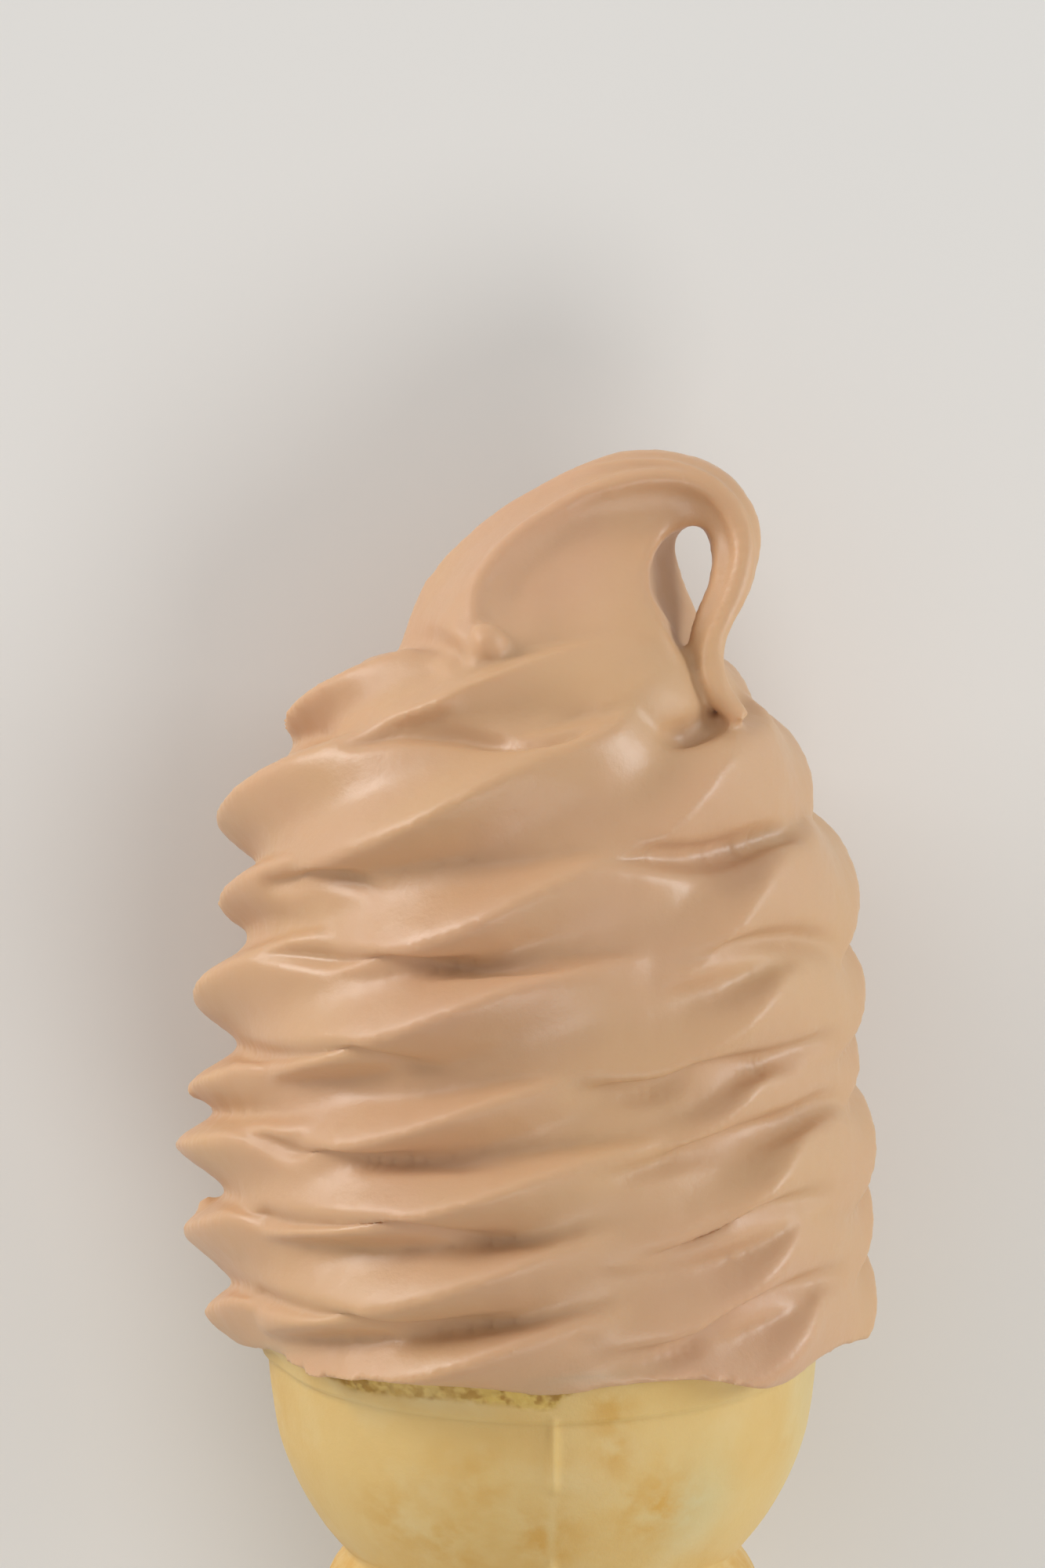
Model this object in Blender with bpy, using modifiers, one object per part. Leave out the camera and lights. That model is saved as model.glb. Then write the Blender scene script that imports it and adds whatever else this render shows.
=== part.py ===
"""Soft serve cone: a piped swirl of ice cream on a moulded wafer cup, lying on its back.

Both pieces are shaped upright first: the cup's axis is Z, height 0 is just under the cup's rim,
and -Y is the shown side. An empty then lays them down, shown side up, on a small flat spot.
Lengths in the lists and constants below are millimetres, and MM turns them into metres.
"""
import bisect
import functools
import math

import bmesh
import bpy
from mathutils import Vector

MM = 0.001

# Coil of ice cream, from the lowest turn up: height and reach of each turn at its left and right.
LEFT_HEIGHT = [1.2, 9.2, 17.6, 23.3, 31.9, 41.0, 48.3, 57.8]
RIGHT_HEIGHT = [2.7, 10.7, 18.0, 26.2, 32.4, 41.1, 51.3, 60.0]
LEFT_REACH = [32.6, 34.7, 35.3, 34.0, 33.7, 31.1, 31.4, 24.9]
RIGHT_REACH = [32.5, 32.1, 32.3, 30.6, 31.2, 30.5, 26.0, 20.0]
FRONT_LIFT = [0.65, -0.5, -1.15, -0.85, 0.85, 0.55, 1.45, 1.5]
COIL_START = -0.35
COIL_END = 7.55

# Section of the piped rope: a star from the nozzle, squashed between its neighbours so that its outer
# faces spread to FACE_ANGLE. The crests are given by where its ridges cross the rope's middle, as
# azimuths in degrees from the front.
FACE_ANGLE = math.radians(71)
RIDGE_SOFTNESS = 0.10
ROPE_DEPTH = 14.0
DEPTH_SWING = 1.5
BAND_FILL = 0.63
LAST_TURN_SHRINK = 0.35
FURROW = 0.24
TOOTH_CREST = [-90, -90, -90, -90, -90, -90, -97, -97]
LEFT_CREST = [-14, -14, -15, -22, -23, -14, -25, -36]
RIGHT_CREST = [48, 41, 39, 34, 36, 36, 28, 27]
SIDE_CREST = 82
BACK_CRESTS = [143, 205]
CREST_EASE = 0.3
EASE_SWING = 0.55

# Lower edge of the lowest turn, which droops unevenly over the rim: its height each 15 degrees across
# the shown side, and behind.
EDGE_DROOP = [-1.5, -0.2, 0.7, 0.0, 0.6, 0.5, -0.5, 0.5, 0.5, -1.2, 0.9, 0.6, -0.9]
EDGE_BEHIND = -0.6
LEDGE_SOFTNESS = 0.5

# Peak, as sections from its foot to the tip of the curl:
# outer edge x, z, inner edge x, z, depth y of the middle, half thickness.
PEAK = [
    (-18.0, 55.0, 18.5, 55.0, -2.0, 19.5),
    (-14.2, 64.8, 16.4, 64.8, -4.0, 17.0),
    (-10.9, 72.3, 13.6, 71.8, -2.0, 12.8),
    (-3.5, 79.1, 12.8, 75.2, -1.0, 9.0),
    (6.9, 84.3, 13.7, 76.6, -2.0, 6.0),
    (16.0, 83.3, 15.0, 76.7, -2.5, 4.4),
    (20.5, 78.0, 15.6, 75.3, -4.0, 3.4),
    (19.8, 71.9, 15.5, 72.4, -6.5, 2.9),
    (17.4, 67.6, 13.7, 67.4, -9.5, 2.5),
    (17.1, 63.7, 14.1, 62.9, -12.7, 2.1),
    (19.1, 60.2, 17.3, 59.2, -15.0, 1.4),
]
PEAK_RIDGES = [
    ([-45, -49, -39, -48, -65, -60, -58, -55, -55, -55, -55], 1.0, 0.15),
    ([40, 38, 42, 38, 28, 25, 18, 12, 12, 12, 12], 1.0, 0.15),
    ([100, 100, 100, 85, 70, 62, 58, 57, 57, 57, 57], 1.0, 0.2),
    ([155] * 11, 1.0, 0.2),
    ([205] * 11, 1.0, 0.2),
    ([262, 262, 262, 262, 255, 250, 250, 250, 250, 250, 250], 1.0, 0.2),
]
PEAK_FURROWS = [0.38, 0.14, 0.10, 0.10, 0.10, 0.24]
BULB_PLACE = (-5.2, -16.2, 66.8)
BULB_SIZE = (2.6, 2.2, 2.4)
SHOULDER_PLACE = (5.5, -9.5, 60.5)
SHOULDER_SIZE = (10.5, 11.0, 8.0)

# Wafer cup.
RIM_HEIGHT = 1.5
RIM_RADIUS = 28.8
STEP_HEIGHT = -4.1
STEP_RADIUS = 26.8
BOWL_RADIUS = 28.0
BOWL_CENTRE = (-1.5, -2.2)
NECK_HEIGHT = -21.4
BEAD_RADIUS = 7.0
BEAD_CENTRE = (14.2, -26.8)
STEM_TOP = (18.4, -32.4)
STEM_FOOT = (16.3, -72.5)
FOOT_RADIUS = 17.1
FOOT_HEIGHT = -78.0
WALL = 2.2
CUP_FLOOR = -18.0
GAP = 0.3

# Flat spot on the back, which lies down: how far it is from the axis at height 0, and its slope,
# which leans with the swirl's taper.
REST_DISTANCE = 32.2
REST_SLOPE = math.radians(4.0)
SLAB_SIZE = 200.0

# How fine the solids are.
VOXEL = 0.6
KEPT_SHARE = 0.055
CUP_STEPS = 48


def along_knots(values, position):
    """Smooth curve through evenly spaced values; position 0 is the first value."""
    last = len(values) - 1
    index = min(max(int(math.floor(position)), 0), last - 1)
    share = position - index
    before = values[index - 1] if index > 0 else 2 * values[0] - values[1]
    start = values[index]
    end = values[index + 1]
    after = values[index + 2] if index + 2 <= last else 2 * values[last] - values[last - 1]
    if not 0 <= share <= 1:
        return start + share * (end - start)
    bend = 3 * (start - end) + after - before
    curve = 2 * before - 5 * start + 4 * end - after + share * bend
    return start + 0.5 * share * (end - before + share * curve)


def half_turn_knots(left, right):
    """One list that alternates left and right, from the lowest turn up."""
    return [value for pair in zip(left, right) for value in pair]


TURNS = len(LEFT_HEIGHT)
HEIGHT = half_turn_knots(LEFT_HEIGHT, RIGHT_HEIGHT)
REACH = half_turn_knots(LEFT_REACH, RIGHT_REACH)


def coil_height(turn):
    return along_knots(HEIGHT, 2 * turn)


def crest_turns():
    """Where the star's ridges cross the middle of the rope, in turns from its start at the left."""
    azimuths = [(TOOTH_CREST[k], LEFT_CREST[k], RIGHT_CREST[k], SIDE_CREST, *BACK_CRESTS)
                for k in range(TURNS)]
    crossings = [k + 0.25 + azimuth / 360 for k in range(TURNS) for azimuth in azimuths[k]]
    return [turn - 1 for turn in crossings[:6]] + crossings + [turn + TURNS for turn in crossings[:6]]


CREST_TURNS = crest_turns()


def ridges_passed(turn):
    """How many ridges, and what share of the next one, have come round to the rope's middle."""
    last = bisect.bisect_right(CREST_TURNS, turn) - 1
    before, start, end, after = CREST_TURNS[last - 1:last + 3]
    span = end - start
    share = (turn - start) / span
    leave, arrive = 2 * span / (end - before), 2 * span / (after - start)
    bend = share * (1 - share) ** 2 * leave - share ** 2 * (1 - share) * arrive
    return last + bend + share ** 2 * (3 - 2 * share)


def star(angle):
    """Depth of the nozzle's star below its ridges, which are crisp: 0 on a ridge, 1 between them."""
    return math.hypot(math.sin(math.pi * angle / FACE_ANGLE), RIDGE_SOFTNESS) - RIDGE_SOFTNESS


def edge_height(azimuth):
    """Height of the ice cream's lower edge, which droops unevenly over the cup's rim."""
    side = (azimuth / math.tau + 0.5) % 1 - 0.5
    if abs(side) > 0.25:
        return EDGE_BEHIND
    return along_knots(EDGE_DROOP, (side + 0.25) * 2 * (len(EDGE_DROOP) - 1))


@functools.cache
def rope_section(turn):
    """What is the same all round the rope at one place: where it is, how big, and where its ridge is."""
    heading = math.tau * turn - math.pi
    azimuth = heading + math.pi / 2
    lift = along_knots(FRONT_LIFT, turn - 0.25) * max(0.0, math.cos(azimuth))
    inner_turn = min(max(turn, 1.0), TURNS - 1.5)
    half_height = BAND_FILL * (coil_height(inner_turn + 1) - coil_height(inner_turn - 1))
    half_height *= 1 - LAST_TURN_SHRINK * min(max((turn - TURNS + 1.6) / 0.6, 0.0), 1.0)
    passed = ridges_passed(turn) % 1 * math.tau
    ease = CREST_EASE + EASE_SWING * math.sin(azimuth)
    ridge = FACE_ANGLE * (passed + ease * math.sin(passed)) / math.tau
    depth = ROPE_DEPTH - DEPTH_SWING * math.sin(azimuth)
    return heading, coil_height(turn) + lift, half_height, ridge, depth, along_knots(REACH, 2 * turn)


def rope_point(turn, around):
    """Point of the rope's skin; turn counts from the left, around is the angle in its section."""
    heading, middle, half_height, ridge, depth, reach = rope_section(turn)
    size = 1 - FURROW * star(around - ridge) * (0.5 + 0.5 * math.cos(around))
    radius = reach - depth + depth * size * math.cos(around)
    height = middle + half_height * size * math.sin(around)
    ledge = edge_height(heading + math.pi / 2)
    if height < ledge:
        height = ledge - LEDGE_SOFTNESS * math.tanh((ledge - height) / LEDGE_SOFTNESS)
    return Vector((radius * math.cos(heading), radius * math.sin(heading), height)) * MM


def coil_point(u, v):
    return rope_point(COIL_START + u * (COIL_END - COIL_START), (v - 0.5) * math.tau)


def peak_size(place, around):
    """Radius of the peak's section: its ridges are uneven and run up into the curl."""
    ridges = [(math.radians(along_knots(angles, place)), size, softness)
              for angles, size, softness in PEAK_RIDGES]
    first = ridges[0][0]
    around = first + (around - first) % math.tau
    ridges.append((first + math.tau, ridges[0][1], ridges[0][2]))
    for start, end, furrow in zip(ridges, ridges[1:], PEAK_FURROWS):
        if around <= end[0]:
            share = (around - start[0]) / (end[0] - start[0])
            softness = start[2] + share * (end[2] - start[2])
            wave = math.hypot(math.sin(math.pi * share), softness) - softness
            return start[1] + share * (end[1] - start[1]) - furrow * wave * (1 - 0.06 * place)
    return 1.0


def peak_point(u, v):
    """Point of the peak's skin: u runs from its foot to the curl's tip, v goes around it."""
    place = u * (len(PEAK) - 1)
    outer_x, outer_z, inner_x, inner_z, depth, thickness = [
        along_knots([section[i] for section in PEAK], place) for i in range(6)]
    outer = Vector((outer_x, depth, outer_z))
    inner = Vector((inner_x, depth, inner_z))
    around = v * math.tau
    size = peak_size(place, around)
    middle = (outer + inner) / 2
    across = (outer - inner) / 2 * size * math.sin(around)
    forward = Vector((0, -1, 0)) * thickness * size * math.cos(around)
    return (middle + across + forward) * MM


def add_tube(bm, stations, sides, point_at):
    """A closed tube: a sheet rolled up by point_at(u, v), welded along its seam and capped."""
    sheet = bmesh.ops.create_grid(bm, x_segments=stations, y_segments=sides, size=0.5)["verts"]
    for vert in sheet:
        vert.co = point_at(vert.co.x + 0.5, vert.co.y + 0.5)
    bmesh.ops.remove_doubles(bm, verts=sheet, dist=0.01 * MM)
    rims = [edge for edge in bm.edges if edge.is_boundary]
    bmesh.ops.holes_fill(bm, edges=rims)


def add_lump(bm, place, size):
    ball = bmesh.ops.create_icosphere(bm, subdivisions=3, radius=MM)["verts"]
    bmesh.ops.scale(bm, vec=size, verts=ball)
    bmesh.ops.translate(bm, vec=Vector(place) * MM, verts=ball)


def link(obj, collection):
    collection.objects.link(obj)
    return obj


def turned(name, profile, steps, collection):
    """A solid turned about Z from (radius, height) points that run down the outer side."""
    mesh = bpy.data.meshes.new(name)
    bm = bmesh.new()
    verts = [bm.verts.new((radius * MM, 0, height * MM)) for radius, height in profile]
    for start, end in zip(verts, verts[1:]):
        bm.edges.new((start, end))
    bm.to_mesh(mesh)
    bm.free()
    obj = link(bpy.data.objects.new(name, mesh), collection)
    screw = obj.modifiers.new("Turn", "SCREW")
    screw.steps = steps
    screw.render_steps = steps
    screw.use_merge_vertices = True
    screw.merge_threshold = 0.00001
    screw.use_smooth_shade = True
    return obj


def bowl_radius(height, sphere):
    """Radius at a height of the cup's bowl, part of a sphere set almost on the axis."""
    return BOWL_CENTRE[0] + math.sqrt(sphere ** 2 - (height - BOWL_CENTRE[1]) ** 2)


def spread(start, end, count):
    return [start + (end - start) * i / (count - 1) for i in range(count)]


def cup_profile(grow):
    """The cup's outline from the middle of its floor, up the inside, over the rim and down to the foot.

    With grow above 0 it is the space that the cup needs, that much larger all over.
    """
    inside = [(bowl_radius(z, BOWL_RADIUS - WALL - grow), z) for z in spread(CUP_FLOOR + grow, STEP_HEIGHT, 6)]
    rim = [
        (RIM_RADIUS - WALL - grow, RIM_HEIGHT - 0.5),
        (RIM_RADIUS - WALL + 0.5 - grow, RIM_HEIGHT + grow),
        (RIM_RADIUS - 0.5 + grow, RIM_HEIGHT + grow),
        (RIM_RADIUS + grow, RIM_HEIGHT - 0.5),
    ]
    step = [(STEP_RADIUS + grow, STEP_HEIGHT + 0.3)]
    bowl = [(bowl_radius(z, BOWL_RADIUS) + grow, z) for z in spread(STEP_HEIGHT, NECK_HEIGHT, 9)]
    bead = [
        (BEAD_CENTRE[0] + (BEAD_RADIUS + grow) * math.cos(angle),
         BEAD_CENTRE[1] + (BEAD_RADIUS + grow) * math.sin(angle))
        for angle in spread(math.radians(45), math.radians(-50), 9)]
    foot = [
        (STEM_TOP[0] + grow, STEM_TOP[1]),
        (STEM_FOOT[0] + grow, STEM_FOOT[1]),
        (FOOT_RADIUS + grow, STEM_FOOT[1] - 1.2),
        (FOOT_RADIUS + grow, FOOT_HEIGHT + 0.8),
        (FOOT_RADIUS - 0.8 + grow, FOOT_HEIGHT - grow),
        (0, FOOT_HEIGHT - grow),
    ]
    return [(0, CUP_FLOOR + grow)] + inside + rim + step + bowl + bead + foot


def filling_profile():
    """Ice cream inside the coil and down in the cup, a little too wide, as the cup's space is cut from it."""
    inside = [(bowl_radius(z, BOWL_RADIUS - WALL) + 0.6, z) for z in spread(STEP_HEIGHT, CUP_FLOOR, 5)]
    above = [(0, 62), (9, 60), (17, 56), (24, 49.5), (27.5, 42), (29, 34), (29.3, 22), (29.3, 8),
             (RIM_RADIUS - 1, RIM_HEIGHT + 1), (RIM_RADIUS - WALL + 0.6, RIM_HEIGHT)]
    return above + inside + [(bowl_radius(CUP_FLOOR, BOWL_RADIUS - WALL), CUP_FLOOR - 0.6), (0, CUP_FLOOR - 0.6)]


def material(name, colour, roughness):
    made = bpy.data.materials.new(name)
    made.use_nodes = True
    shader = made.node_tree.nodes["Principled BSDF"]
    shader.inputs["Base Color"].default_value = (*colour, 1)
    shader.inputs["Roughness"].default_value = roughness
    shader.inputs["Metallic"].default_value = 0
    return made


def cut(obj, cutter):
    cutter.hide_render = True
    cutter.display_type = "WIRE"
    boolean = obj.modifiers.new("Cut " + cutter.name, "BOOLEAN")
    boolean.operation = "DIFFERENCE"
    boolean.object = cutter


def make_cup(collection):
    cup = turned("wafer_cup", cup_profile(0), CUP_STEPS, collection)
    cup.data.materials.append(material("wafer", (0.656, 0.445, 0.185), 0.7))
    return cup


def make_swirl(collection, cutters):
    """The coil, the peak and the filling as one lump, hollowed where the cup's wall stands in it."""
    filling = turned("filling", filling_profile(), 64, collection)
    graph = bpy.context.evaluated_depsgraph_get()
    bm = bmesh.new()
    bm.from_mesh(bpy.data.meshes.new_from_object(filling.evaluated_get(graph)))
    bpy.data.objects.remove(filling)
    add_tube(bm, 800, 72, coil_point)
    add_tube(bm, 160, 72, peak_point)
    add_lump(bm, BULB_PLACE, BULB_SIZE)
    add_lump(bm, SHOULDER_PLACE, SHOULDER_SIZE)
    bmesh.ops.recalc_face_normals(bm, faces=bm.faces)
    mesh = bpy.data.meshes.new("swirl")
    bm.to_mesh(mesh)
    bm.free()
    swirl = link(bpy.data.objects.new("swirl", mesh), collection)
    mesh.materials.append(material("ice_cream", (0.566, 0.348, 0.21), 0.5))
    fuse = swirl.modifiers.new("Fuse", "REMESH")
    fuse.mode = "VOXEL"
    fuse.voxel_size = VOXEL * MM
    fuse.use_smooth_shade = True
    soften = swirl.modifiers.new("Soften", "SMOOTH")
    soften.factor = 0.5
    soften.iterations = 2
    thin = swirl.modifiers.new("Thin out", "DECIMATE")
    thin.ratio = KEPT_SHARE
    cut(swirl, turned("cup_space", cup_profile(GAP), CUP_STEPS, cutters))
    bpy.ops.mesh.primitive_cube_add(size=SLAB_SIZE * MM)
    slab = bpy.context.object
    slab.name = "rest_plane"
    slab.data.name = "rest_plane"
    outward = Vector((0, math.cos(REST_SLOPE), math.sin(REST_SLOPE)))
    slab.location = (Vector((0, REST_DISTANCE, 0)) + SLAB_SIZE / 2 * outward) * MM
    slab.rotation_euler = (REST_SLOPE, 0, 0)
    slab.users_collection[0].objects.unlink(slab)
    cut(swirl, link(slab, cutters))
    return swirl


def lay_down(pieces, cutters):
    """Parents all to an empty that turns the back down, with the flat spot at height 0.

    The world's origin is then under the middle of the lying part.
    """
    laid = bpy.data.objects.new("lying", None)
    bpy.context.scene.collection.objects.link(laid)
    laid.empty_display_size = 0.02
    laid.rotation_euler = (-math.pi / 2 - REST_SLOPE, 0, 0)
    laid.location = (0, 0, REST_DISTANCE * math.cos(REST_SLOPE) * MM)
    for obj in pieces + cutters:
        obj.parent = laid
    graph = bpy.context.evaluated_depsgraph_get()
    points = [piece.matrix_world @ vert.co
              for piece in pieces for vert in piece.evaluated_get(graph).data.vertices]
    for axis in (0, 1):
        places = [point[axis] for point in points]
        laid.location[axis] -= (min(places) + max(places)) / 2


def main():
    for obj in list(bpy.data.objects):
        bpy.data.objects.remove(obj)
    scene = bpy.context.scene.collection
    parts = bpy.data.collections.new("soft_serve_cone")
    cutters = bpy.data.collections.new("cutters")
    scene.children.link(parts)
    scene.children.link(cutters)
    cup = make_cup(parts)
    swirl = make_swirl(parts, cutters)
    lay_down([cup, swirl], list(cutters.objects))


main()
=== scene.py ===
"""A soft serve cone, lying on its back: piped ice cream on a moulded wafer cup.

Both pieces are shaped upright, in millimetres: the cup's axis is Z, height 0 is just under the
cup's rim, and -Y is the shown side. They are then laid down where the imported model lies.
"""

import bisect
import functools
import itertools
import math

import bmesh
import bpy
from mathutils import Matrix, Vector, noise
from mathutils.bvhtree import BVHTree
from mathutils.kdtree import KDTree


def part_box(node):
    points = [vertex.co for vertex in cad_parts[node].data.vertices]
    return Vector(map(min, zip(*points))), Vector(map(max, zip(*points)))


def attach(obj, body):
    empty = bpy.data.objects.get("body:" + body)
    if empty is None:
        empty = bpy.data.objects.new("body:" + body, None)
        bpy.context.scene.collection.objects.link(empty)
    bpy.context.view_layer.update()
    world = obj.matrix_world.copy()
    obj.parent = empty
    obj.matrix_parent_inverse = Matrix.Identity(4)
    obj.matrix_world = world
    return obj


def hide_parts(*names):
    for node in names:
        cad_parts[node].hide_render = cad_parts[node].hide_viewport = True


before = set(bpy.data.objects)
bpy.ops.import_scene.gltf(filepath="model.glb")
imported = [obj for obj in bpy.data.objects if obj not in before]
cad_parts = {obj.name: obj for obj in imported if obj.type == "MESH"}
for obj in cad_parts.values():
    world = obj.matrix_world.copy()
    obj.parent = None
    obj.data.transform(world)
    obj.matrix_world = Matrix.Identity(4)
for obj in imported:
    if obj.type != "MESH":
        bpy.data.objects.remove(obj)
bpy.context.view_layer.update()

# Wafer cup: thin batter baked in a two-part iron mould, which leaves a seam down its front. It has
# a flared rim band, a step, a round bowl that stacks in a bead, and a stem down to the foot. The
# batter stuck to the mould under the rim, where its skin is torn and freckled.
MM = 0.001
GAP = 0.3
RIM_HEIGHT = 1.5
RIM_RADIUS = 28.8
RIM_BEVEL = 0.5
BAND_MARGINS = (0.8, 0.3)
STEP_HEIGHT = -4.1
STEP_RADIUS = 26.8
BOWL_RADIUS = 28.0
BOWL_CENTRE = (-1.5, -2.2)
WALL = 2.2
CUP_FLOOR = -18.0
NECK_HEIGHT = -21.4
BEAD_RADIUS = 7.0
BEAD_CENTRE = (14.2, -26.8)
BEAD_ARC = (math.radians(45), math.radians(-50))
STEM_TOP = (18.4, -32.4)
STEM_FOOT = (16.3, -72.5)
FOOT_RADIUS = 17.1
FOOT_HEIGHT = -78.0
FOOT_BEVEL = 0.8
FOOT_FLARE = 1.2
CUP_STEPS = 640


def bowl_radius(height, sphere):
    """Radius at a height of the cup's bowl, part of a sphere set almost on the axis."""
    return BOWL_CENTRE[0] + math.sqrt(sphere ** 2 - (height - BOWL_CENTRE[1]) ** 2)


def spread(start, end, count):
    return [start + (end - start) * i / (count - 1) for i in range(count)]


def cup_profile(grow=0.0):
    """The cup's outline from the middle of its floor, up the inside, over the rim and down to the foot.

    With grow above 0 it is the space that the cup needs, that much larger all over.
    """
    inner = BOWL_RADIUS - WALL - grow
    inside = [(bowl_radius(z, inner), z) for z in spread(CUP_FLOOR + grow, STEP_HEIGHT, 10)]
    rim = [
        (RIM_RADIUS - WALL - grow, RIM_HEIGHT - RIM_BEVEL),
        (RIM_RADIUS - WALL + RIM_BEVEL - grow, RIM_HEIGHT + grow),
        (RIM_RADIUS - RIM_BEVEL + grow, RIM_HEIGHT + grow),
        (RIM_RADIUS + grow, RIM_HEIGHT - RIM_BEVEL),
    ]
    flare = (RIM_RADIUS - STEP_RADIUS) / (RIM_HEIGHT - STEP_HEIGHT)
    band = [(STEP_RADIUS + flare * (z - STEP_HEIGHT) + grow, z)
            for z in spread(RIM_HEIGHT - BAND_MARGINS[0], STEP_HEIGHT + BAND_MARGINS[1], 18)]
    bowl = [(bowl_radius(z, BOWL_RADIUS) + grow, z) for z in spread(STEP_HEIGHT, NECK_HEIGHT, 30)]
    bead = [(BEAD_CENTRE[0] + (BEAD_RADIUS + grow) * math.cos(angle),
             BEAD_CENTRE[1] + (BEAD_RADIUS + grow) * math.sin(angle))
            for angle in spread(*BEAD_ARC, 16)]
    stem = [(STEM_TOP[0] + grow + (STEM_FOOT[0] - STEM_TOP[0]) * t,
             STEM_TOP[1] + (STEM_FOOT[1] - STEM_TOP[1]) * t) for t in spread(0, 1, 14)]
    foot = [
        (FOOT_RADIUS + grow, STEM_FOOT[1] - FOOT_FLARE),
        (FOOT_RADIUS + grow, FOOT_HEIGHT + FOOT_BEVEL),
        (FOOT_RADIUS - FOOT_BEVEL + grow, FOOT_HEIGHT - grow),
        (0, FOOT_HEIGHT - grow),
    ]
    return [(0, CUP_FLOOR + grow)] + inside + rim + band + bowl + bead + stem + foot


def add_turned(bm, profile, steps):
    """A solid turned about Z from (radius, height) points that start and end on the axis."""
    verts = [bm.verts.new((radius, 0, height)) for radius, height in profile]
    edges = [bm.edges.new(pair) for pair in zip(verts, verts[1:])]
    bmesh.ops.spin(bm, geom=verts + edges, axis=(0, 0, 1), cent=(0, 0, 0), angle=math.tau,
                   steps=steps, use_merge=True)
    bmesh.ops.remove_doubles(bm, verts=bm.verts, dist=0.001)


# Lying place: the cone lies on a small flat spot that follows the swirl's taper. The cup is turned
# about its own axis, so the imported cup's box gives that axis.
REST_DISTANCE = 32.2
REST_SLOPE = math.radians(4.0)
laid_turn = -math.pi / 2 - REST_SLOPE
cup_low, cup_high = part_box("wafer_cup")
foot_back = Vector((0, FOOT_RADIUS - FOOT_BEVEL, FOOT_HEIGHT)) * MM
foot_back.rotate(Matrix.Rotation(laid_turn, 3, "X"))
laid_place = Vector((
    (cup_low.x + cup_high.x) / 2,
    cup_low.y - foot_back.y,
    REST_DISTANCE * math.cos(REST_SLOPE) * MM))
LAID = Matrix.Translation(laid_place) @ Matrix.Rotation(laid_turn, 4, "X") @ Matrix.Scale(MM, 4)


def to_object(name, bm):
    """An object at the origin, with what was built in bm as its mesh."""
    mesh = bpy.data.meshes.new(name)
    bm.to_mesh(mesh)
    bm.free()
    obj = bpy.data.objects.new(name, mesh)
    bpy.context.scene.collection.objects.link(obj)
    return obj


# The mould's halves leave a ridge. The torn skin reaches down to a ragged edge, given as azimuth in
# degrees from the front and height, and is freckled more at some azimuths than at others.
SEAM_AZIMUTH = 2.0
SEAM_WIDTH = 0.45
SEAM_RISE = 0.5
SEAM_TOP = -3.1
SEAM_FADE = 1.2
TORN_EDGE = [(-70, 2.0), (-60, 0.2), (-54, -1.2), (-46, -1.7), (-40, -2.6), (-34, -2.4), (-29, -2.3),
             (-19, -1.9), (-7, -2.1), (1, -2.5), (2, -2.6), (3, -1.6), (6, -0.4), (9, -0.1), (14, 2.0)]
TORN_FADE = 0.5
TORN_SINK = 0.18
RAGGED_HEIGHT = 0.35
RAGGED_FINENESS = 0.45
FRECKLED = [(-60, 0.2), (-48, 0.5), (-43, 1.0), (-38, 0.9), (-30, 0.5), (-18, 0.6), (-10, 1.0), (2, 1.0),
            (6, 0.5), (9, 0.2)]

# Waves in the skin, in the torn skin and along the step, each as its height and how fine it is. The
# step also rises toward the sides, and that lift fades out above and below it.
SKIN_WAVES = [(0.10, 0.16), (0.035, 0.7)]
TORN_WAVES = [(0.22, 0.9), (0.16, 2.3), (0.08, 5)]
STEP_WAVES = [(0.15, 0.12)]
STEP_LIFT = 0.2
SIDE_LIFT = 2.6
MOST_SIDE = 0.65
LIFT_FADES = (4.0, 6.0)
LIFT_END = -11

# Soft spots that the mould toasted, and soft greyish spots: azimuth, height, size and strength. The
# bead is toasted all round.
TOASTED_SPOTS = [
    (1, -15.5, 3.2, 1.0), (25, -12.5, 3.8, 1.0), (-13, -10.0, 3.2, 0.6), (14, -7.0, 2.2, 0.8),
    (45, -1.7, 0.6, 1.6), (-36, -14.5, 4.5, 0.6), (62, -10.0, 3.0, 0.3), (13, -2.6, 2.2, 0.9),
    (-20, -16.5, 3.0, 0.7), (-42, -1.0, 1.5, 0.5), (-75, -8.0, 4.0, 0.4), (-110, -9.0, 6.0, 0.6),
    (130, -12.0, 7.0, 0.6), (175, -6.0, 5.0, 0.5),
]
GREY_SPOTS = [(35, -13.0, 4.5, 0.7), (75, -6.0, 7.0, 0.4), (-150, -10.0, 7.0, 0.5)]
BEAD_TOAST_TOP = NECK_HEIGHT + 1.5
BEAD_TOAST_FADE = 3

# The wafer is plain inside this radius, and is worked only within this depth of its outer skin.
PLAIN_RADIUS = 12
SKIN_DEPTH = 1.2


def between(pairs, position):
    """Straight lines through (position, value) pairs, level beyond both ends."""
    places = [pair[0] for pair in pairs]
    index = min(max(bisect.bisect_right(places, position), 1), len(pairs) - 1)
    (start, low), (end, high) = pairs[index - 1:index + 1]
    return low + (high - low) * min(max((position - start) / (end - start), 0.0), 1.0)


def eased(value):
    """Soft step: 0 below 0, 1 above 1."""
    share = min(max(value, 0.0), 1.0)
    return share * share * (3 - 2 * share)


def waves(place, layers):
    return sum(height * noise.noise(place * fineness) for height, fineness in layers)


def torn_share(azimuth, height):
    ragged = RAGGED_HEIGHT * noise.noise(Vector((azimuth * RAGGED_FINENESS, height, 3.0)))
    return eased((height - between(TORN_EDGE, azimuth) + ragged) / TORN_FADE + 0.5)


def seam_share(azimuth, radius, height):
    across = math.radians(azimuth - SEAM_AZIMUTH) * radius / SEAM_WIDTH
    return math.exp(-across ** 2) * eased((SEAM_TOP - height) / SEAM_FADE)


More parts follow.
